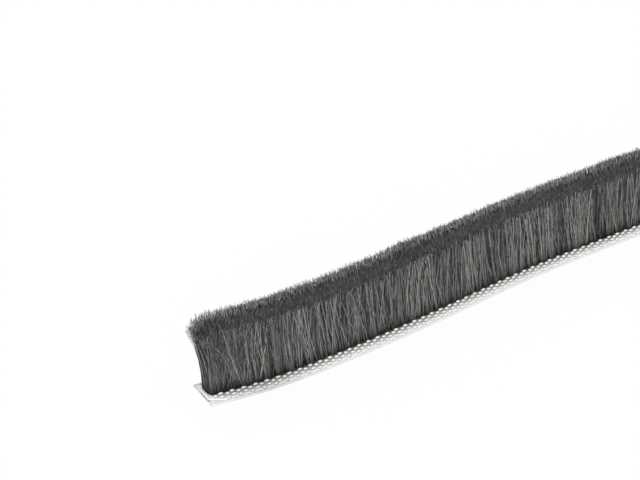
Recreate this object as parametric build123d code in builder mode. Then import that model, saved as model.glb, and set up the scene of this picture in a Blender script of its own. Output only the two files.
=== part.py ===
# Self-adhesive brush seal strip: woven backing, upright pile and a peel-off tape, cut to one length.
# Millimetres. The strip lies on its tape along X, pile up, its cut ends square to its own line.
# Origin: middle of the length, on the centre line of the tape's underside.
import os
from math import radians
from build123d import *

os.makedirs("parts", exist_ok=True)

# Length and the way it lies: a straight main run, then the slight bends left by the roll it was cut from
strip_length = 1000.0
back_bend_radius = 240.0
back_bend_angle = 5.3
middle_run = 16.5
long_bend_radius = 440.0
long_bend_angle = 4.7
end_bend_radius = 85.0
end_bend_angle = 11.5
end_run = 7.0

# Adhesive tape with its release liner, one flat band that stands past the backing by a lip at each edge
tape_width = 9.8
tape_thickness = 0.35
tape_lip = 0.4

# Woven backing: a thin selvedge at each edge, rows of weave as low ribs, a flat root under the pile
backing_width = tape_width - 2 * tape_lip
selvedge_thickness = 0.45
weave_row_pitch = 0.55
weave_rib_height = 0.22
root_thickness = 0.75

# Pile: packed tight at its root, fanned out at its trimmed top and towards each cut end
pile_root_width = 3.9
pile_top_width = 7.9
pile_length = 15.0
pile_side_bow = 0.35
pile_rim_radius = 0.6
pile_end_setback = 0.8
pile_end_fan = 1.2
pile_end_bow = 0.5


def lay_route(overrun):
    """The strip's centre line, from its straight end to its bent end, longer by overrun at each end."""
    bends = (
        radians(back_bend_angle) * back_bend_radius
        + radians(long_bend_angle) * long_bend_radius
        + radians(end_bend_angle) * end_bend_radius
    )
    main_run = strip_length - middle_run - end_run - bends
    straight_end = strip_length / 2
    with BuildLine() as route:
        main = Line((straight_end + overrun, 0), (straight_end - main_run, 0))
        back_bend = JernArc(main @ 1, main % 1, back_bend_radius, back_bend_angle)
        middle = Line(back_bend @ 1, back_bend @ 1 + (back_bend % 1) * middle_run)
        long_bend = JernArc(middle @ 1, middle % 1, long_bend_radius, -long_bend_angle)
        end_bend = JernArc(long_bend @ 1, long_bend % 1, end_bend_radius, -end_bend_angle)
        Line(end_bend @ 1, end_bend @ 1 + (end_bend % 1) * (end_run + overrun))
    return route.line


def section_plane(route, height):
    """Plane of a cross-section at the route's start: local X across the strip, local Y up."""
    return Plane(origin=route @ 0 + Vector(0, 0, height), x_dir=(0, -1, 0), z_dir=route % 0)


route = lay_route(0)
pile_route = lay_route(pile_end_fan - pile_end_setback)
backing_level = tape_thickness
pile_level = tape_thickness + root_thickness

# Adhesive tape
with BuildPart() as adhesive_tape:
    with BuildSketch(section_plane(route, tape_thickness / 2)):
        Rectangle(tape_width, tape_thickness)
    sweep(path=route)

# Woven backing
with BuildPart() as woven_backing:
    with BuildSketch(section_plane(route, backing_level)):
        with BuildLine():
            edge = backing_width / 2
            root_edge = pile_root_width / 2
            weave_rows = int((edge - root_edge) / weave_row_pitch)
            Polyline((0, root_thickness), (root_edge, root_thickness), (root_edge, selvedge_thickness))
            for row in range(weave_rows):
                inner = (root_edge + row * weave_row_pitch, selvedge_thickness)
                outer = (root_edge + (row + 1) * weave_row_pitch, selvedge_thickness)
                SagittaArc(inner, outer, weave_rib_height)
            Polyline(outer, (edge, selvedge_thickness), (edge, 0), (0, 0))
            mirror(about=Plane.YZ)
        make_face()
    sweep(path=route)

# Pile
with BuildPart() as pile:
    with BuildSketch(section_plane(pile_route, pile_level)) as pile_section:
        with BuildLine():
            root_corner = (pile_root_width / 2, 0)
            top_corner = (pile_top_width / 2, pile_length)
            Line((0, 0), root_corner)
            SagittaArc(root_corner, top_corner, pile_side_bow)
            Line(top_corner, (0, pile_length))
            mirror(about=Plane.YZ)
        make_face()
        fillet(pile_section.vertices().group_by(Axis.Z)[-1], pile_rim_radius)
    sweep(path=pile_route)
    # the fan at each cut end: a hollow slope from the root, set back from the cut, out to the pile's top
    for end, outward in ((0, -(route % 0)), (1, route % 1)):
        foot = route @ end - outward * pile_end_setback + Vector(0, 0, pile_level)
        with BuildSketch(Plane(origin=foot, x_dir=outward, z_dir=outward.cross(Vector(0, 0, 1)))):
            with BuildLine():
                fan_top = (pile_end_fan, pile_length)
                SagittaArc((0, 0), fan_top, pile_end_bow)
                Polyline(fan_top, (2 * pile_end_fan, pile_length), (2 * pile_end_fan, 0), (0, 0))
            make_face()
        extrude(amount=pile_top_width, both=True, mode=Mode.SUBTRACT)

adhesive_tape.part.label = "adhesive_tape"
woven_backing.part.label = "woven_backing"
pile.part.label = "pile"
export_step(adhesive_tape.part, "parts/adhesive_tape.step")
export_step(woven_backing.part, "parts/woven_backing.step")
export_step(pile.part, "parts/pile.step")
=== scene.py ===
import bpy
import numpy as np
from math import radians, pi
from mathutils import Matrix, Vector


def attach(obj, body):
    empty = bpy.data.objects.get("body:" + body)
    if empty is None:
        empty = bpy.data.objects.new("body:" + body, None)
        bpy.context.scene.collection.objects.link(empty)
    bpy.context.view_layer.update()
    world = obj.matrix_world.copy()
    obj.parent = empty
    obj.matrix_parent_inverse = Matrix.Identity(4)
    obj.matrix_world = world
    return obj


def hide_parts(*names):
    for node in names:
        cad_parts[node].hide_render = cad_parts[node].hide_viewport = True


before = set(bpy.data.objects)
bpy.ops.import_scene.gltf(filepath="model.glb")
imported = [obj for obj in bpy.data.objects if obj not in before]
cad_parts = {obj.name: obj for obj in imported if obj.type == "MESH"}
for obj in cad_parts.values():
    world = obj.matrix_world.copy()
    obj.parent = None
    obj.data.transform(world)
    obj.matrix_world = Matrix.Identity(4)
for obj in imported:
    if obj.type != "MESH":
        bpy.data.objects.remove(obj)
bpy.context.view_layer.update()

mm = 0.001


# the route: the strip's centre line in plan, from its bent end to its straight end

stripRoute = {
    "length": 1000 * mm,
    "endRun": 7 * mm,
    "endBend": (85 * mm, 11.5),         # radius, degrees to the left
    "longBend": (440 * mm, 4.7),
    "middleRun": 16.5 * mm,
    "backBend": (240 * mm, -5.3),
    "sampleStep": 0.25 * mm,
    "overrun": 10 * mm,                 # the samples go on past both ends
}


def layRoute(route):
    knots = [-route["overrun"], route["endRun"]]
    turns = [0.0, 0.0]
    for radius, degrees in (route["endBend"], route["longBend"]):
        knots.append(knots[-1] + radius * radians(abs(degrees)))
        turns.append(turns[-1] + radians(degrees))
    knots.append(knots[-1] + route["middleRun"])
    turns.append(turns[-1])
    radius, degrees = route["backBend"]
    knots.append(knots[-1] + radius * radians(abs(degrees)))
    turns.append(turns[-1] + radians(degrees))
    s = np.arange(-route["overrun"], route["length"] + route["overrun"], route["sampleStep"])
    heading = np.interp(s, knots, turns) - turns[-1]
    middle = heading[:-1] + np.diff(heading) / 2
    x = np.concatenate([[0], np.cumsum(np.cos(middle))]) * route["sampleStep"]
    y = np.concatenate([[0], np.cumsum(np.sin(middle))]) * route["sampleStep"]
    x += route["length"] / 2 - np.interp(route["length"], s, x)
    y -= np.interp(route["length"], s, y)
    return s, x, y, heading


routeS, routeX, routeY, routeHeading = layRoute(stripRoute)


# world points from distance along the strip, offset to its left, and height
def place(s, v, z):
    heading = np.interp(s, routeS, routeHeading)
    x = np.interp(s, routeS, routeX) - v * np.sin(heading)
    y = np.interp(s, routeS, routeY) + v * np.cos(heading)
    return np.stack([x, y, z + 0 * x], axis=-1)


# meshes from arrays, for what is repeated by the thousand or follows the route

def meshFromArrays(name, points, corners):
    mesh = bpy.data.meshes.new(name)
    sides = corners.shape[1]
    mesh.vertices.add(len(points))
    mesh.vertices.foreach_set("co", np.ascontiguousarray(points, dtype=np.float32).ravel())
    mesh.loops.add(corners.size)
    mesh.loops.foreach_set("vertex_index", np.ascontiguousarray(corners, dtype=np.int32).ravel())
    mesh.polygons.add(len(corners))
    mesh.polygons.foreach_set("loop_start", np.arange(0, corners.size, sides, dtype=np.int32))
    mesh.update(calc_edges=True)
    piece = bpy.data.objects.new(name, mesh)
    bpy.context.scene.collection.objects.link(piece)
    return piece


# many forms in one mesh: their points by form and corner, and the triangles that each of them has
def meshFromForms(name, points, triangles):
    count, cornersEach = points.shape[:2]
    corners = np.arange(count)[:, None, None] * cornersEach + np.array(triangles)
    return meshFromArrays(name, points.reshape(-1, 3), corners.reshape(-1, 3))


# a number at each vertex, which the material reads
def addShade(piece, values):
    shade = piece.data.attributes.new("shade", "FLOAT", "POINT")
    shade.data.foreach_set("value", np.ascontiguousarray(values, dtype=np.float32))


def dress(piece, material, node):
    piece.data.materials.append(material)
    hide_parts(node)
    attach(piece, "root")


def selectOnly(piece):
    bpy.ops.object.select_all(action="DESELECT")
    piece.select_set(True)
    bpy.context.view_layer.objects.active = piece


# a closed band along the route: its outline is a list of left offset and height,
# each a number or an array over the stations
def sweepStrip(name, outline, stations):
    rings = [place(stations, v, z) for v, z in outline]
    points = np.stack(rings, axis=1).reshape(-1, 3)
    sides = len(outline)
    quads = []
    base = np.arange(len(stations) - 1) * sides
    for a in range(sides):
        b = (a + 1) % sides
        quads.append(np.stack([base + a, base + b, base + b + sides, base + a + sides], axis=1))
    piece = meshFromArrays(name, points, np.concatenate(quads))
    selectOnly(piece)
    bpy.ops.object.mode_set(mode="EDIT")
    bpy.ops.mesh.select_all(action="SELECT")
    bpy.ops.mesh.region_to_loop()
    bpy.ops.mesh.fill_holes(sides=0)
    bpy.ops.mesh.select_all(action="SELECT")
    bpy.ops.mesh.normals_make_consistent(inside=False)
    bpy.ops.object.mode_set(mode="OBJECT")
    return piece


# materials

def newMaterial(name):
    material = bpy.data.materials.new(name)
    material.use_nodes = True
    nodes = material.node_tree.nodes
    return material, nodes, material.node_tree.links, nodes["Principled BSDF"]


def addRamp(nodes, stops):
    ramp = nodes.new("ShaderNodeValToRGB")
    elements = ramp.color_ramp.elements
    while len(elements) < len(stops):
        elements.new(0.5)
    for element, (position, color) in zip(elements, stops):
        element.position = position
        element.color = color
    return ramp


# from the dark to the light colour by the number at each vertex
def addShadeRamp(nodes, links, dark, light):
    shade = nodes.new("ShaderNodeAttribute")
    shade.attribute_name = "shade"
    ramp = addRamp(nodes, [(0.0, dark), (1.0, light)])
    links.new(shade.outputs["Fac"], ramp.inputs["Fac"])
    return ramp


# noise on the piece's own coordinates, drawn out along an axis where its stretch is under 1
def addNoise(nodes, links, scale, stretch, detail):
    coordinates = nodes.new("ShaderNodeTexCoord")
    mapping = nodes.new("ShaderNodeMapping")
    mapping.inputs["Scale"].default_value = stretch
    noise = nodes.new("ShaderNodeTexNoise")
    noise.inputs["Scale"].default_value = scale
    noise.inputs["Detail"].default_value = detail
    links.new(coordinates.outputs["Object"], mapping.inputs["Vector"])
    links.new(mapping.outputs["Vector"], noise.inputs["Vector"])
    return noise


# from one colour to the other over a span of noise values
def addNoiseRamp(nodes, links, noise, span, low, high):
    ramp = addRamp(nodes, [(span[0], low), (span[1], high)])
    links.new(noise.outputs["Fac"], ramp.inputs["Fac"])
    return ramp


# painted shade: share of the colour by height, with each height given as a share of the full one
def addHeightShade(nodes, links, shares, full):
    coordinates = nodes.new("ShaderNodeTexCoord")
    split = nodes.new("ShaderNodeSeparateXYZ")
    height = nodes.new("ShaderNodeMath")
    height.operation = "DIVIDE"
    height.inputs[1].default_value = full
    ramp = addRamp(nodes, [(at, (*np.broadcast_to(share, 3), 1)) for at, share in shares])
    links.new(coordinates.outputs["Object"], split.inputs[0])
    links.new(split.outputs["Z"], height.inputs[0])
    links.new(height.outputs[0], ramp.inputs["Fac"])
    return ramp


# painted shade: the white parts are darker a little way in from the two cut ends
cutEndShade = {
    "reach": 40 * mm,
    # share of the colour kept, by distance from the end as a share of the reach
    "shares": ((0.05, 0.97), (0.17, 0.84), (0.3, 0.77), (0.4, 0.83), (0.52, 0.94), (0.68, 1.0)),
}


# painted shade: a ramp of colour shares by distance from the nearer cut end
def addCutEndShade(nodes, links, paintedShade):
    coordinates = nodes.new("ShaderNodeTexCoord")
    split = nodes.new("ShaderNodeSeparateXYZ")
    fromMiddle = nodes.new("ShaderNodeMath")
    fromMiddle.operation = "ABSOLUTE"
    fromEnd = nodes.new("ShaderNodeMapRange")
    fromEnd.inputs["From Min"].default_value = stripRoute["length"] / 2
    fromEnd.inputs["From Max"].default_value = stripRoute["length"] / 2 - paintedShade["reach"]
    ramp = addRamp(nodes, [(at, (share, share, share, 1)) for at, share in paintedShade["shares"]])
    links.new(coordinates.outputs["Object"], split.inputs[0])
    links.new(split.outputs["X"], fromMiddle.inputs[0])
    links.new(fromMiddle.outputs[0], fromEnd.inputs["Value"])
    links.new(fromEnd.outputs[0], ramp.inputs["Fac"])
    return ramp


# all the given colours, one times the next, into the shader
def multiply(nodes, links, colors, shader):
    product = colors[0].outputs["Color"]
    for color in colors[1:]:
        mix = nodes.new("ShaderNodeMix")
        mix.data_type = "RGBA"
        mix.blend_type = "MULTIPLY"
        mix.inputs["Factor"].default_value = 1.0
        links.new(product, mix.inputs[6])
        links.new(color.outputs["Color"], mix.inputs[7])
        product = mix.outputs[2]
    links.new(product, shader.inputs["Base Color"])


# small uneven patches, from the lower share of the colour to the higher one
def addFleck(nodes, links, fleck):
    noise = addNoise(nodes, links, fleck["scale"], (1, 1, fleck["stretch"]), fleck["detail"])
    low, high = fleck["shares"]
    return addNoiseRamp(nodes, links, noise, fleck["span"], (low, low, low, 1), (high, high, high, 1))


shadeHeight = 17 * mm       # the heights in the next two materials are shares of this

fibreLook = {
    "dark": (0.018, 0.018, 0.018, 1),
    "light": (0.70, 0.685, 0.655, 1),
    "roughness": 0.55,
    "fleck": {"scale": 2600, "stretch": 0.4, "detail": 2, "span": (0.32, 0.68), "shares": (0.68, 1.3)},
    # painted shade by height: darker in the depth of the root, a little darker up the face against the
    # lamps' stronger light there, and darker and cooler at the trimmed tips
    "heights": (
        (0.06, 0.44), (0.13, 0.82), (0.22, 0.95), (0.35, 0.87), (0.52, 0.70),
        (0.7, 0.67), (0.82, 0.71), (0.92, (0.67, 0.68, 0.70)), (0.97, (0.54, 0.55, 0.58)),
    ),
}


def makeFibreMaterial(look):
    material, nodes, links, shader = newMaterial("darkGreyFibre")
    ramp = addShadeRamp(nodes, links, look["dark"], look["light"])
    heights = addHeightShade(nodes, links, look["heights"], shadeHeight)
    multiply(nodes, links, [ramp, heights, addFleck(nodes, links, look["fleck"])], shader)
    shader.inputs["Roughness"].default_value = look["roughness"]
    return material


coreLook = {
    "dark": (0.012, 0.012, 0.012, 1),
    "light": (0.095, 0.094, 0.091, 1),
    "scale": 5500,
    "stretch": 0.03,
    "detail": 3,
    "span": (0.4, 0.65),        # noise values at which the streaks are darkest and lightest
    "heights": ((0.06, 0.08), (0.2, 0.52), (0.8, 0.52), (0.88, 0.6), (0.892, 1.0)),
    "roughness": 0.9,
}


# the packed fibres behind the outer ones, as upright streaks, with painted shade: far darker than the
# outer fibres and darkest at the root
def makeCoreMaterial(look):
    material, nodes, links, shader = newMaterial("packedFibre")
    noise = addNoise(nodes, links, look["scale"], (1, 1, look["stretch"]), look["detail"])
    ramp = addNoiseRamp(nodes, links, noise, look["span"], look["dark"], look["light"])
    multiply(nodes, links, [ramp, addHeightShade(nodes, links, look["heights"], shadeHeight)], shader)
    shader.inputs["Roughness"].default_value = look["roughness"]
    return material


threadLook = {
    # the groove colour is painted shade, at the feet of the beads and next to the pile
    "groove": (0.14, 0.126, 0.114, 1),
    "thread": (0.892, 0.882, 0.865, 1),
    "fleck": {"scale": 2600, "stretch": 1, "detail": 2, "span": (0.32, 0.68), "shares": (0.86, 1.0)},
    "roughness": 0.35,
}


# raised thread: the shade runs from the foot of a bead to its crown
def makeThreadMaterial(look):
    material, nodes, links, shader = newMaterial("whiteThread")
    ramp = addShadeRamp(nodes, links, look["groove"], look["thread"])
    # painted shade near the two cut ends
    paintedShade = addCutEndShade(nodes, links, cutEndShade)
    multiply(nodes, links, [ramp, addFleck(nodes, links, look["fleck"]), paintedShade], shader)
    shader.inputs["Roughness"].default_value = look["roughness"]
    return material


tapeLook = {
    "color": (0.84, 0.84, 0.865, 1),
    "streak": (0.79, 0.79, 0.82, 1),
    "scale": 160,
    "stretch": 0.15,
    "detail": 4,
    "span": (0.35, 0.65),
    "roughness": (0.3, 0.5),
    "thickness": 0.35 * mm,
    "edge": ((0.0, 0.5), (0.5, 0.8), (0.9, 1.0)),       # painted shadow along the bottom edge: share of the colour, by height in the tape
}


def makeTapeMaterial(look):
    material, nodes, links, shader = newMaterial("adhesiveTapeFilm")
    noise = addNoise(nodes, links, look["scale"], (look["stretch"], 1, 1), look["detail"])
    ramp = addNoiseRamp(nodes, links, noise, look["span"], look["streak"], look["color"])
    gloss = nodes.new("ShaderNodeMapRange")
    gloss.inputs["To Min"].default_value = look["roughness"][0]
    gloss.inputs["To Max"].default_value = look["roughness"][1]
    links.new(noise.outputs["Fac"], gloss.inputs["Value"])
    # painted shadow along the tape's bottom edge, and the same painted shade near the cut ends as on
    # the thread
    edge = addHeightShade(nodes, links, look["edge"], look["thickness"])
    multiply(nodes, links, [ramp, edge, addCutEndShade(nodes, links, cutEndShade)], shader)
    links.new(gloss.outputs[0], shader.inputs["Roughness"])
    return material


fibreMaterial = makeFibreMaterial(fibreLook)
coreMaterial = makeCoreMaterial(coreLook)
threadMaterial = makeThreadMaterial(threadLook)
tapeMaterial = makeTapeMaterial(tapeLook)
print("materials made")


# the pile: tufts of fibres, narrow at the root and fanned out at the trimmed top

pile = {
    "seed": 11,
    "tufts": 399,
    "firstTuft": 1.6 * mm,              # from the cut end to the middle of the first tuft
    "rootWidth": 4.0 * mm,
    "topWidth": 7.9 * mm,
    "level": 1.1 * mm,                  # where the pile leaves the backing
    "length": 15 * mm,
    "sunk": 0.35 * mm,                  # the feet of the fibres go into the backing by this
    "strands": 54,                      # bundles in one tuft
    "thickness": (0.7, 1.3),            # thinnest and thickest fibre, as shares of the common one
    "endDrift": 1.2 * mm,               # the tips lean out at the cut ends
    "drift": 2.3 * mm,                  # and toward the bent end between them
    "driftFrom": (5 * mm, 32 * mm),     # one lean passes into the other between these
    "endHold": 0.35 * mm,               # tips at the ends of the fan are uneven by this
    "fibreTrim": 0.1 * mm,
    "wave": (7 * mm, 0.14 * mm),        # slow rise and fall of the trimmed top: step, height
    "waveSeed": 3,
    "endDrop": (2.6 * mm, 0.8 * mm),    # the tips sink toward the cut ends: reach, depth
    "pastEnd": 0.2,                     # and past them for this share of the reach
}

tuftPitch = (stripRoute["length"] - 2 * pile["firstTuft"]) / (pile["tufts"] - 1)
tuftS = pile["firstTuft"] + np.arange(pile["tufts"]) * tuftPitch
trimLevel = pile["level"] + pile["length"]


# from 0 at the low value to 1 at the high one, with soft ends
def easeShare(value, low, high):
    share = np.clip((value - low) / (high - low), 0, 1)
    return share * share * (3 - 2 * share)


# how far the tip of a fibre leans along the strip
def driftAt(s):
    low, high = pile["driftFrom"]
    fromStart = -pile["endDrift"] + (pile["endDrift"] - pile["drift"]) * easeShare(s, low, high)
    toEnd = easeShare(stripRoute["length"] - s, low, high)
    return fromStart * toEnd + pile["endDrift"] * (1 - toEnd)


# keeps the tips between the two cut ends, moved out by the overhang
def holdEnds(s, overhang, rng):
    low = -overhang + np.abs(rng.normal(0, pile["endHold"], len(s)))
    high = stripRoute["length"] + overhang - np.abs(rng.normal(0, pile["endHold"], len(s)))
    return np.clip(s, low, high)


waveRng = np.random.default_rng(pile["waveSeed"])
waveStop = stripRoute["length"] + 2 * stripRoute["overrun"]
waveS = np.arange(-stripRoute["overrun"], waveStop, pile["wave"][0])
waveZ = waveRng.normal(0, 1, len(waveS)) * pile["wave"][1]


# height of each tip, uneven by strand and by fibre
def trimAt(s, strandOf, trim, rng):
    mean, spread = trim
    reach, depth = pile["endDrop"]
    fromEnd = np.minimum(s, stripRoute["length"] - s)
    inward = np.clip(fromEnd / reach, -pile["pastEnd"], 1)
    z = trimLevel + mean + np.interp(s, waveS, waveZ) - depth * (1 - inward) ** 2
    z = z + rng.normal(0, 1, strandOf.max() + 1)[strandOf] * spread
    return z + rng.normal(0, 1, len(s)) * pile["fibreTrim"]


# closed needles of four triangles; half of them stand on their ring, half hang from it
def needles(name, foot, tip, radius, tone, rng):
    count = len(tone)
    ringLow = rng.uniform(0, 1, count) < 0.5
    turn = np.where(ringLow, 1, -1)
    s, v, z = [np.where(ringLow, a, b) for a, b in zip(foot, tip)]
    apex = [np.where(ringLow, b, a) for a, b in zip(foot, tip)]
    phase = rng.uniform(0, 2 * pi, count)
    corners = []
    for corner in range(3):
        angle = turn * (phase + corner * 2 * pi / 3)
        corners.append(place(s + radius * np.cos(angle), v + radius * np.sin(angle), z))
    points = np.stack(corners + [place(*apex)], axis=1)
    piece = meshFromForms(name, points, [(0, 2, 1), (0, 1, 3), (1, 2, 3), (2, 0, 3)])
    addShade(piece, np.repeat(np.clip(tone, 0, 1), 4))
    dress(piece, fibreMaterial, "pile")
    return piece


# closed three-sided tubes through the given centres, one tube a fibre, with a tone for each ring
def tubes(name, centres, radii, tones, rng):
    count = len(tones[0])
    phase = rng.uniform(0, 2 * pi, count)
    rings = []
    for (s, v, z), radius in zip(centres, radii):
        for corner in range(3):
            angle = phase + corner * 2 * pi / 3
            rings.append(place(s + radius * np.cos(angle), v + radius * np.sin(angle), z))
    triangles = [(0, 2, 1)]
    last = (len(centres) - 1) * 3
    for low in range(0, last, 3):
        for a in range(3):
            b = (a + 1) % 3
            triangles += [(low + a, low + b, low + b + 3), (low + a, low + b + 3, low + a + 3)]
    triangles.append((last, last + 1, last + 2))
    piece = meshFromForms(name, np.stack(rings, axis=1), triangles)
    addShade(piece, np.repeat(np.clip(np.stack(tones, axis=1), 0, 1), 3, axis=1).ravel())
    dress(piece, fibreMaterial, "pile")
    return piece


mixing = {
    "unevenness": 0.5,          # how far dark fibres stray from even spacing
    "darkest": 0.2,             # tone of the dark fibres, at most, as a share of the middle one
    "range": (0.005, 1.6),      # least tone of all, and the most as a share of the middle one
    "shadeFall": 0.6,           # under 1, the shade deepens fast behind the outer fibres
}


# mostly one grey, uneven by strand, tuft and fibre, with a share of dark fibres spaced out between
def mixTones(tufts, strandOf, tuftOf, tones, rng):
    count = len(tuftOf)
    strandShare = rng.normal(1, tones["strands"], strandOf.max() + 1)
    tuftShare = rng.normal(1, tones["tufts"], tufts)
    tone = tones["middle"] * rng.normal(1, tones["fibres"], count)
    tone = tone * strandShare[strandOf] * tuftShare[tuftOf]
    turn = np.arange(count) * tones["darkShare"] + rng.uniform(0, mixing["unevenness"], count)
    dark = turn % 1 < tones["darkShare"]
    tone = np.where(dark, rng.uniform(0, mixing["darkest"], count) * tones["middle"], tone)
    least, most = mixing["range"]
    return np.clip(tone, least, most * tones["middle"])


# the fibres behind the outer ones lie in their shade
def depthShare(inward, deepest):
    return 1 - (1 - deepest) * np.clip(inward, 0, 1) ** mixing["shadeFall"]


# where two values stand by side, -1 is the front and 1 the back
pileFace = {
    "fibres": {-1: 30, 1: 27},          # in one tuft
    "radius": {-1: 0.145 * mm, 1: 0.15 * mm},
    "tapers": {-1: 0.55, 1: 0.35},      # thickness left at the tip
    "tips": {-1: 1.15, 1: 1.9},         # painted light: how much lighter the tips are
    "bareTufts": 3,                     # tufts at each end that are left to the bent fibres
    "depth": (0.76, 1.0),               # where the fibres stand, as shares of the half width
    "depthSpread": 0.02,
    "outermost": 1.01,
    "root": 0.78,                       # share of the pitch that a tuft takes at its foot
    "top": 1.3,                         # and at its top
    "strandLean": 1.1 * mm,
    "fibreLean": 1.1 * mm,
    "strayShare": 0.2,                  # fibres that cross the others
    "strayLean": 2.4 * mm,
    "strayRadius": 0.7,                 # share of the common thickness
    "strayTone": 0.78,
    "strayDepth": 0.96,                 # so that others lie over them here and there
    "bend": 0.28 * mm,                  # how far a fibre bows at half its height
    "waist": 0.36,                      # share of the flare that is reached at half the height
    "endKeep": 0.6 * mm,                # straight fibres stop this far inside the cut ends
    "tones": {"middle": 0.397, "strands": 0.06, "tufts": 0.02, "fibres": 0.18, "darkShare": 0.36},
    "deepShare": 0.08,                  # painted shade: how much of its tone the deepest fibre keeps
    "trims": {-1: (-0.75 * mm, 0.45 * mm), 1: (0.3 * mm, 0.07 * mm)},      # mean, spread
    "tuftTrims": {-1: 0.16 * mm, 1: 0.08 * mm},
}


def makeFace(name, side, face, rng):
    tufts = pile["tufts"]
    fibres = face["fibres"][side]
    tuftOf = np.repeat(np.arange(face["bareTufts"], tufts - face["bareTufts"]), fibres)
    count = len(tuftOf)
    strandOf = tuftOf * pile["strands"] + rng.integers(0, pile["strands"], count)
    strands = tufts * pile["strands"]
    along = np.tile(np.arange(fibres), count // fibres) + rng.uniform(0, 1, count)
    along = along / fibres - 0.5
    deepest, outer = face["depth"]
    depth = rng.uniform(deepest, outer, strands)[strandOf]
    depth = np.minimum(depth + rng.normal(0, face["depthSpread"], count), face["outermost"])
    lean = rng.normal(0, 1, strands)[strandOf] * face["strandLean"]
    lean += rng.normal(0, 1, count) * face["fibreLean"]
    stray = rng.uniform(0, 1, count) < face["strayShare"]
    depth = np.where(stray, face["strayDepth"] * depth, depth)
    lean = np.where(stray, rng.normal(0, 1, count) * face["strayLean"], lean)
    # foot, tip and the middle between them
    s0 = tuftS[tuftOf] + along * face["root"] * tuftPitch
    s1 = tuftS[tuftOf] + along * face["top"] * tuftPitch + lean + driftAt(s0)
    v0 = side * depth * pile["rootWidth"] / 2
    topDepth = np.minimum(depth + rng.normal(0, face["depthSpread"], count), face["outermost"])
    v1 = side * topDepth * pile["topWidth"] / 2
    z0 = np.full(count, pile["level"] - pile["sunk"])
    z1 = trimAt(s1, strandOf, face["trims"][side], rng)
    z1 = z1 + rng.normal(0, face["tuftTrims"][side], tufts)[tuftOf]
    s1 = holdEnds(s1, -face["endKeep"], rng)
    halfS = (s0 + s1) / 2 + rng.normal(0, 1, count) * face["bend"]
    halfV = v0 + (v1 - v0) * face["waist"]
    centres = [(s0, v0, z0), (halfS, halfV, (z0 + z1) / 2), (s1, v1, z1)]
    radius = face["radius"][side] * rng.uniform(*pile["thickness"], count)
    radius = radius * np.where(stray, face["strayRadius"], 1)
    taper = face["tapers"][side]
    radii = [radius, radius * (1 + taper) / 2, radius * taper]
    tone = mixTones(tufts, strandOf, tuftOf, face["tones"], rng) * np.where(stray, face["strayTone"], 1)
    tone = tone * depthShare((outer - depth) / (outer - deepest), face["deepShare"])
    return tubes(name, centres, radii, [tone, tone, tone * face["tips"][side]], rng)


rng = np.random.default_rng(pile["seed"])
facePieces = [
    makeFace("frontFibres", -1, pileFace, rng),
    makeFace("frontFibresToo", -1, pileFace, rng),
    makeFace("backFibres", 1, pileFace, rng),
    makeFace("backFibresToo", 1, pileFace, rng),
]
print("pile faces", [len(piece.data.polygons) for piece in facePieces])


pileTop = {
    "perTuft": 120,
    "band": (-0.46, 0.47),              # where the needles stand, as shares of the top's width
    "radius": 0.09 * mm,
    "rearShare": 0.38,                  # of them, finer and a little longer, along the back rim
    "rearBand": (0.3, 0.5),
    "rearRadius": 0.06 * mm,
    "rearRise": (0.58 * mm, 0.05 * mm), # mean, spread
    "strands": 24,                      # bundles in one tuft
    "low": 2.4 * mm,                    # length of a needle
    "footWidth": 0.93,                  # the feet take this share of the width of the tips
    "lean": 0.35 * mm,
    "leanAcross": 0.7,                  # as a share of the lean along the strip
    "trim": (0.2 * mm, 0.11 * mm),      # mean, spread
    # painted shade: the top's fibres take a darker tone than those of the faces
    "tones": {"middle": 0.265, "strands": 0.1, "tufts": 0.05, "fibres": 0.4, "darkShare": 0.3},
    "rearTones": {
        "middle": 0.215, "strands": 0.04, "tufts": 0.05, "fibres": 0.15, "darkShare": 0.04,
    },
    "crossShares": (0.56, 2.9),         # painted shade and light: share of the tone kept, on the front half and at the back rim
    "endShare": (1.5, 12 * mm),         # painted light, lighter toward the cut ends: share of the tone, reach
}


# the tips of the fibres between the two faces
def makeTop(top, rng):
    perTuft = top["perTuft"]
    count = pile["tufts"] * perTuft
    tuftOf = np.repeat(np.arange(pile["tufts"]), perTuft)
    along = np.tile(np.arange(perTuft), pile["tufts"]) + rng.uniform(0, 1, count)
    along = along / perTuft - 0.5
    s1 = tuftS[tuftOf] + along * tuftPitch + driftAt(tuftS[tuftOf])
    rear = np.arange(count) * top["rearShare"] % 1 < top["rearShare"]
    v1 = np.where(rear, rng.uniform(*top["rearBand"], count), rng.uniform(*top["band"], count))
    v1 = v1 * pile["topWidth"]
    s0 = s1 - driftAt(s1) * top["low"] / pile["length"] + rng.normal(0, 1, count) * top["lean"]
    v0 = v1 * top["footWidth"] + rng.normal(0, 1, count) * top["lean"] * top["leanAcross"]
    strandOf = tuftOf * top["strands"] + rng.integers(0, top["strands"], count)
    z1 = trimAt(s1, strandOf, top["trim"], rng) + rear * rng.normal(*top["rearRise"], count)
    z0 = np.full(count, trimLevel - top["low"])
    radius = np.where(rear, top["rearRadius"], top["radius"]) * rng.uniform(*pile["thickness"], count)
    tone = mixTones(pile["tufts"], strandOf, tuftOf, top["tones"], rng)
    tone = np.where(rear, mixTones(pile["tufts"], strandOf, tuftOf, top["rearTones"], rng), tone)
    front, back = top["crossShares"]
    tone = tone * (front + (back - front) * easeShare(v1, 0, pile["topWidth"] / 2))
    most, reach = top["endShare"]
    fromEnd = np.minimum(s1, stripRoute["length"] - s1)
    tone = tone * (most + (1 - most) * easeShare(fromEnd, 0, reach))
    return needles("topFibres", (s0, v0, z0), (holdEnds(s1, 0, rng), v1, z1), radius, tone, rng)


topPiece = makeTop(pileTop, rng)
print("pile top", len(topPiece.data.polygons))


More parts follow.
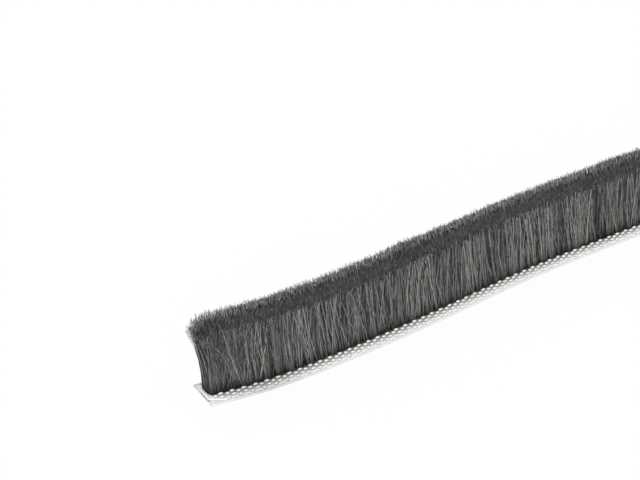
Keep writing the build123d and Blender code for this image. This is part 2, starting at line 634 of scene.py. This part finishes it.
# wild fibres cross the others, loose ones lie outermost of these, wisps stand out of the cut end
pileEnds = {
    "seed": 13,
    "fibres": 1150,                     # at each end
    "steps": 4,                         # straight parts of a bent fibre
    "radius": 0.125 * mm,
    "thin": 0.7,                        # thickness of wisps and wild fibres, share of the common one
    "taper": 0.3,                       # thickness left at the tip
    "inset": 0.65 * mm,
    "round": (0.45 * mm, 4),            # the end's upright edges stand back: how far, how tightly
    "reach": 7.6 * mm,                  # the feet stand in this length, closer toward the cut end
    "wildReach": 13 * mm,
    "crowding": 1.6,
    "lean": 0.5 * mm,
    "most": (0.8 * mm, 1.7 * mm),       # no tip stands further out than this, nor any wisp
    "spread": 0.8 * mm,
    "wildSpread": 2.8 * mm,
    "looseSpread": 5.5 * mm,
    "wildShare": 0.28,
    "wispShare": 0.06,
    "loose": (0.14, 0.52),              # share of the wild fibres, tone
    "looseTones": (0.8, 1.15),          # shares of that tone, from least to most
    "faceShare": 0.5,                   # fibres that lie on the long faces
    "faceBand": (0.25, 1.5),            # how deep they lie, as a share of the half width, how evenly
    "wildFace": (0.98, 1.03),           # where wild fibres lie, as shares of the half width
    "looseFace": (1.03, 1.07),
    "bow": (2.6, 4.2),                  # powers of the height by which fibres bend out
    "wildBow": 1.2,
    "wispBow": 2.2,
    "flare": 2.6,                       # and by which the pile widens
    "trim": (-0.4 * mm, 0.45 * mm),     # mean, spread
    # painted shade and light: the end fibres take a darker tone than those of the faces, the wild,
    # loose and wisp fibres a lighter one
    "tones": {"middle": 0.17, "strands": 0, "tufts": 0, "fibres": 0.25, "darkShare": 0.55},
    "wildTones": {"middle": 0.35, "strands": 0, "tufts": 0, "fibres": 0.25, "darkShare": 0.32},
    "wispTone": 1.6,
    "tips": (1.0, 1.3),                 # painted light: how much lighter the tips are, front and back
    "foot": 0.3,                        # and painted shade: how much darker the feet
    "deepShare": 0.1,                   # painted shade: how much of its tone the deepest fibre keeps
    "deepFrom": 0.25,                   # fibres are deepest from this share inward
}


# bent fibres that fan out and cross at the two cut ends
def makeEnds(ends, rng):
    count = 2 * ends["fibres"]
    atStart = np.arange(count) < ends["fibres"]
    depth = rng.uniform(0, 1, count) ** ends["crowding"]
    wild = rng.uniform(0, 1, count) < ends["wildShare"]
    inset = ends["inset"] + depth * np.where(wild, ends["wildReach"], ends["reach"])
    looseShare, looseTone = ends["loose"]
    loose = wild & (rng.uniform(0, 1, count) < looseShare)
    spread = np.where(loose, ends["looseSpread"], np.where(wild, ends["wildSpread"], ends["spread"]))
    lean = ends["lean"] * (1 - depth) + rng.normal(0, 1, count) * spread
    wisp = ~wild & (rng.uniform(0, 1, count) < ends["wispShare"])
    tipMost, wispMost = ends["most"]
    lean = np.where(wisp, inset + rng.uniform(tipMost, wispMost, count), lean)
    lean = np.minimum(lean, inset + np.where(wild, 0, np.where(wisp, wispMost, tipMost)))
    # across the strip, from -1 on the front face to 1 on the back one
    share = rng.uniform(-1, 1, count)
    faceDepth, evenness = ends["faceBand"]
    onFace = np.sign(share) * (1 - faceDepth * rng.uniform(0, 1, count) ** evenness)
    share = np.where(rng.uniform(0, 1, count) < ends["faceShare"], onFace, share)
    share = np.where(wild, np.sign(share) * rng.uniform(*ends["wildFace"], count), share)
    share = np.where(loose, np.sign(share) * rng.uniform(*ends["looseFace"], count), share)
    bow = rng.uniform(*ends["bow"], count)
    bow = np.where(wild, ends["wildBow"], np.where(wisp, ends["wispBow"], bow))
    z0 = pile["level"] - pile["sunk"]
    z1 = trimAt(inset - lean, np.arange(count), ends["trim"], rng)
    radius = ends["radius"] * rng.uniform(*pile["thickness"], count)
    radius = np.where(wild | wisp, ends["thin"] * radius, radius)
    roundDepth, roundPower = ends["round"]
    heights = np.linspace(0, 1, ends["steps"] + 1)
    centres = []
    radii = []
    for t in heights:
        out = inset + roundDepth * np.abs(share) ** roundPower - lean * t ** bow
        s = np.where(atStart, out, stripRoute["length"] - out)
        width = pile["rootWidth"] + (pile["topWidth"] - pile["rootWidth"]) * t ** ends["flare"]
        centres.append((s, share * width / 2, z0 + (z1 - z0) * t))
        radii.append(radius * (1 + (ends["taper"] - 1) * t))
    single = np.arange(count)
    tone = mixTones(count, single, single, ends["tones"], rng)
    tone = np.where(wild | wisp, mixTones(count, single, single, ends["wildTones"], rng), tone)
    inward = np.minimum(depth, 1 - np.abs(share)) / ends["deepFrom"]
    tone = tone * np.where(wisp, ends["wispTone"], depthShare(inward, ends["deepShare"]))
    tone = np.where(loose, looseTone * rng.uniform(*ends["looseTones"], count), tone)
    tip = np.where(share > 0, ends["tips"][1], ends["tips"][0])
    tones = [tone * (ends["foot"] + (tip - ends["foot"]) * t) for t in heights]
    return tubes("endFibres", centres, radii, tones, rng)


endPiece = makeEnds(pileEnds, np.random.default_rng(pileEnds["seed"]))
print("pile ends", len(endPiece.data.polygons))


# a dark body inside the pile, so that no light passes between the fibres
pileCore = {
    "rootInset": 0.45 * mm,
    "topInset": 0.55 * mm,
    "below": 0.9 * mm,          # from the trimmed top down
    "endInset": 1.9 * mm,       # from the cut ends
    "bow": 0.15 * mm,           # its sides are hollow by this at half the height
    "sunk": 0.05 * mm,
    "step": 4 * mm,
}


def makeCore(core):
    root = pile["rootWidth"] / 2 - core["rootInset"]
    top = pile["topWidth"] / 2 - core["topInset"]
    waist = (root + top) / 2 - core["bow"]
    low = pile["level"] - core["sunk"]
    high = trimLevel - core["below"]
    stations = np.arange(0, stripRoute["length"], core["step"])
    stations = np.append(stations, stripRoute["length"])
    share = 1 - 2 * core["endInset"] / stripRoute["length"]
    stations = stripRoute["length"] / 2 + (stations - stripRoute["length"] / 2) * share
    middle = (low + high) / 2
    outline = [(-root, low), (root, low), (waist, middle), (top, high), (-top, high), (-waist, middle)]
    piece = sweepStrip("pileCore", outline, stations)
    dress(piece, coreMaterial, "pile")


makeCore(pileCore)
print("pile core made")


# the woven backing: a thin strip, thickest at the pile, with staggered rows of raised thread

backing = {
    "width": 9.0 * mm,
    "bottom": 0.35 * mm,
    "edgeTop": 0.56 * mm,
    "rootTop": 0.86 * mm,
    "rootEdge": 2.05 * mm,
    "cutBack": 1.3 * mm,        # the near corner of the cut end is trimmed off by this much
    "cutLength": 3.6 * mm,
    # how far the cut end stands off the tape, in millimetres, by offset from the centre line
    "lifts": ((-4.5, 0.1), (-3.2, 0.22), (0.8, 0.56), (2.05, 0.4), (4.5, 0)),
    "liftLength": 3.0 * mm,
    "nearStations": (4 * mm, 17),       # close together at the lifted end: reach, how many
    "step": 4 * mm,                     # between the others
    # painted shade round the outline, from the front bottom edge: greyer along the bottom and darkest
    # at the foot of the pile
    "shades": (0.6, 0.5, 0.5, 0.6, 0.93, 0.05, 0.05, 0.93),
    "endShade": 0.85,
    "endShadeLength": 1.1 * mm,
}


# half the width, less where the near corner is trimmed off
def edgeOffset(s):
    return backing["width"] / 2 - backing["cutBack"] * np.clip(1 - s / backing["cutLength"], 0, 1)


def liftAt(s, v):
    offsets, lifts = np.array(backing["lifts"]).T * mm
    return np.interp(v, offsets, lifts) * np.clip(1 - s / backing["liftLength"], 0, 1) ** 2


def backingTop(v):
    half = backing["width"] / 2
    share = np.clip((np.abs(v) - backing["rootEdge"]) / (half - backing["rootEdge"]), 0, 1)
    return backing["rootTop"] + (backing["edgeTop"] - backing["rootTop"]) * share


def makeBacking(band):
    half = band["width"] / 2
    root = band["rootEdge"]
    nearLength, nearCount = band["nearStations"]
    near = np.linspace(0, nearLength, nearCount)
    far = np.arange(2 * band["step"], stripRoute["length"], band["step"])
    stations = np.concatenate([near, far, [stripRoute["length"]]])
    front = -edgeOffset(stations)
    low = band["bottom"]
    high = band["rootTop"]
    outline = [
        (front, low), (-root, low), (root, low), (half, low),
        (half, band["edgeTop"]), (root, high), (-root, high), (front, backingTop(front)),
    ]
    outline = [(v, z + liftAt(stations, v)) for v, z in outline]
    piece = sweepStrip("wovenStrip", outline, stations)
    shades = np.tile(band["shades"], (len(stations), 1))
    shades[stations < band["endShadeLength"]] = band["endShade"]
    addShade(piece, shades.ravel())
    dress(piece, threadMaterial, "woven_backing")


makeBacking(backing)
print("backing strip made")


weave = {
    "seed": 10,
    # each row from the pile outward: offset from the centre line,
    # start as a share of the pitch, length and width of a bead
    "rows": (
        (2.38 * mm, 0.22, 1.30 * mm, 0.76 * mm),
        (2.86 * mm, 0.70, 1.15 * mm, 0.84 * mm),
        (3.52 * mm, 0.18, 1.20 * mm, 0.82 * mm),
        (4.12 * mm, 0.66, 1.20 * mm, 0.70 * mm),
    ),
    "beadPitch": 2.56 * mm,
    "startKeep": 0.6,           # no bead starts nearer the lifted end, as a share of its length
    "endKeep": 0.8 * mm,
    "edgeKeep": 0.1 * mm,
    "jitter": (0.05 * mm, 0.015 * mm),      # along and across
    "lengths": (0.92, 1.08),
    "height": 0.40 * mm,
    "roundness": 0.6,           # a bead is no higher than this share of its width
    "sunk": 0.04 * mm,
    # the cut yarns along the end
    "endBeads": {
        "at": 0.3 * mm, "pitch": 0.42 * mm, "from": -3.1 * mm, "to": 2.4 * mm,
        "along": 0.5 * mm, "across": 0.26 * mm,
    },
    "sides": 6,
    "levels": ((1.0, 0.0, 0.0), (0.88, 0.65, 0.85), (0.55, 1.0, 1.0)),    # spread, rise, shade
}


# place along and across, length and width of every bead
def layBeads(weave):
    pitch = weave["beadPitch"]
    beads = []
    for side in (-1, 1):
        for offset, start, along, across in weave["rows"]:
            s = np.arange(start * pitch, stripRoute["length"] - weave["endKeep"], pitch)
            s = s[s > weave["startKeep"] * along]
            beads.append(np.stack([s, 0 * s + side * offset, 0 * s + along, 0 * s + across]))
    ends = weave["endBeads"]
    v = np.arange(ends["from"], ends["to"], ends["pitch"])
    beads.append(np.stack([0 * v + ends["at"], v, 0 * v + ends["along"], 0 * v + ends["across"]]))
    beads = np.concatenate(beads, axis=1)
    keep = -beads[1] < edgeOffset(beads[0]) - weave["edgeKeep"]
    return beads[:, keep]


# low domes with flat crowns, closed below
def makeBeads(weave, rng):
    centreS, centreV, along, across = layBeads(weave)
    count = len(centreS)
    jitterS, jitterV = weave["jitter"]
    centreS = centreS + rng.normal(0, jitterS, count)
    centreV = centreV + rng.normal(0, jitterV, count)
    along = along * rng.uniform(*weave["lengths"], count)
    rise = np.minimum(weave["height"], weave["roundness"] * across)
    base = backingTop(centreV) + liftAt(centreS, centreV) - weave["sunk"]
    sides = weave["sides"]
    corners = []
    shades = []
    # painted shade: the foot of each bead is dark, the crown white
    for spread, level, shade in weave["levels"]:
        for angle in np.arange(sides) * 2 * pi / sides:
            s = centreS + np.cos(angle) * spread * along / 2
            v = centreV + np.sin(angle) * spread * across / 2
            corners.append(place(s, v, base + level * rise))
            shades.append(np.full(count, shade))
    triangles = []
    top = (len(weave["levels"]) - 1) * sides
    for low in range(0, top, sides):
        for a in range(sides):
            b = (a + 1) % sides
            high = low + sides
            triangles += [(low + a, low + b, high + b), (low + a, high + b, high + a)]
    for a in range(1, sides - 1):
        triangles += [(top, top + a, top + a + 1), (0, a + 1, a)]
    piece = meshFromForms("weaveBeads", np.stack(corners, axis=1), triangles)
    piece.data.shade_smooth()
    addShade(piece, np.stack(shades, axis=1).ravel())
    dress(piece, threadMaterial, "woven_backing")
    return piece


beadPiece = makeBeads(weave, np.random.default_rng(weave["seed"]))
print("backing beads", len(beadPiece.data.polygons))


# painted shadow: a dark block fills the gap under the lifted end of the backing

gapShadow = {
    "from": 0.8 * mm,
    "to": -3.2 * mm,
    "inset": 0.04 * mm,
    "depth": 1.2 * mm,
    "low": 0.34 * mm,
    "high": (0.56 * mm, 0.92 * mm),     # at the near corner, at the other end
}


def makeGapShadow(edge):
    bpy.ops.object.select_all(action="DESELECT")
    bpy.ops.mesh.primitive_cube_add(size=1)
    piece = bpy.context.object
    piece.name = "gapShadow"
    nearHigh, farHigh = edge["high"]
    for vertex in piece.data.vertices:
        near = vertex.co.y < 0
        s = edge["inset"] if vertex.co.x < 0 else edge["inset"] + edge["depth"]
        v = edge["to"] if near else edge["from"]
        high = nearHigh if near else farHigh
        vertex.co = place(s, v, edge["low"] if vertex.co.z < 0 else high)
    piece.data.materials.append(coreMaterial)
    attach(piece, "root")


makeGapShadow(gapShadow)


# the adhesive tape keeps its CAD shape

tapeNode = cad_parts["adhesive_tape"]
tapeNode.data.materials.clear()
tapeNode.data.materials.append(tapeMaterial)
print("tape dressed")


# floor, lights and camera

floorLook = {
    "size": 8.0,
    "level": -0.02 * mm,        # a hair under the tape, so that the two don't share a plane
    "color": (0.9, 0.9, 0.9, 1),
    "roughness": 0.9,
    "glow": 0.93,               # how white the camera sees it
}


def makeFloor(look):
    bpy.ops.object.select_all(action="DESELECT")
    bpy.ops.mesh.primitive_plane_add(size=look["size"], location=(0, 0, look["level"]))
    floor = bpy.context.object
    floor.name = "paleFloor"
    material, nodes, links, shader = newMaterial("paleFloor")
    shader.inputs["Base Color"].default_value = look["color"]
    shader.inputs["Roughness"].default_value = look["roughness"]
    path = nodes.new("ShaderNodeLightPath")
    seen = path.outputs["Is Camera Ray"]
    for ray in ("Is Glossy Ray", "Is Transmission Ray"):
        add = nodes.new("ShaderNodeMath")
        add.operation = "ADD"
        add.use_clamp = True
        links.new(seen, add.inputs[0])
        links.new(path.outputs[ray], add.inputs[1])
        seen = add.outputs[0]
    share = nodes.new("ShaderNodeMath")
    share.operation = "MULTIPLY"
    share.inputs[1].default_value = look["glow"]
    glow = nodes.new("ShaderNodeEmission")
    mix = nodes.new("ShaderNodeMixShader")
    links.new(seen, share.inputs[0])
    links.new(share.outputs[0], mix.inputs["Fac"])
    links.new(shader.outputs[0], mix.inputs[1])
    links.new(glow.outputs[0], mix.inputs[2])
    links.new(mix.outputs[0], nodes["Material Output"].inputs["Surface"])
    floor.data.materials.append(material)


makeFloor(floorLook)

scene = bpy.context.scene
scene.view_settings.view_transform = "Standard"

# soft light that is even over the whole length: each sun is a wide disc
studio = {
    "ambient": 0.66,
    "key": {"from": Vector((-0.56, -0.79, 0.5)), "spread": 40, "strength": 2.5},
    "over": {"from": Vector((0.14, 0.66, 1.19)), "spread": 40, "strength": 0.6},
}


def addWorld(strength):
    world = bpy.data.worlds.new("studio")
    scene.world = world
    world.use_nodes = True
    sky = world.node_tree.nodes["Background"]
    sky.inputs["Color"].default_value = (1, 1, 1, 1)
    sky.inputs["Strength"].default_value = strength


def addLamp(name, lamp):
    bpy.ops.object.light_add(type="SUN", location=lamp["from"])
    sun = bpy.context.object
    sun.name = name
    sun.data.angle = radians(lamp["spread"])
    sun.data.energy = lamp["strength"]
    sun.rotation_euler = (-lamp["from"]).to_track_quat("-Z", "Y").to_euler()


addWorld(studio["ambient"])
addLamp("keyLamp", studio["key"])
addLamp("overLamp", studio["over"])

photoView = {
    "place": Vector((-0.72320, -0.36620, 0.23711)),
    "target": Vector((-0.43810, 0.04192, 0.0)),
    "roll": 2.98,
    "lens": 135,
    "sensor": 36,
}


def addCamera(view):
    camera = bpy.data.objects.new("photoView", bpy.data.cameras.new("photoView"))
    scene.collection.objects.link(camera)
    camera.data.lens = view["lens"]
    camera.data.sensor_width = view["sensor"]
    turn = (view["target"] - view["place"]).to_track_quat("-Z", "Y").to_matrix().to_4x4()
    roll = Matrix.Rotation(radians(-view["roll"]), 4, "Z")
    camera.matrix_world = Matrix.Translation(view["place"]) @ turn @ roll
    scene.camera = camera


addCamera(photoView)
print("floor, light and camera set")
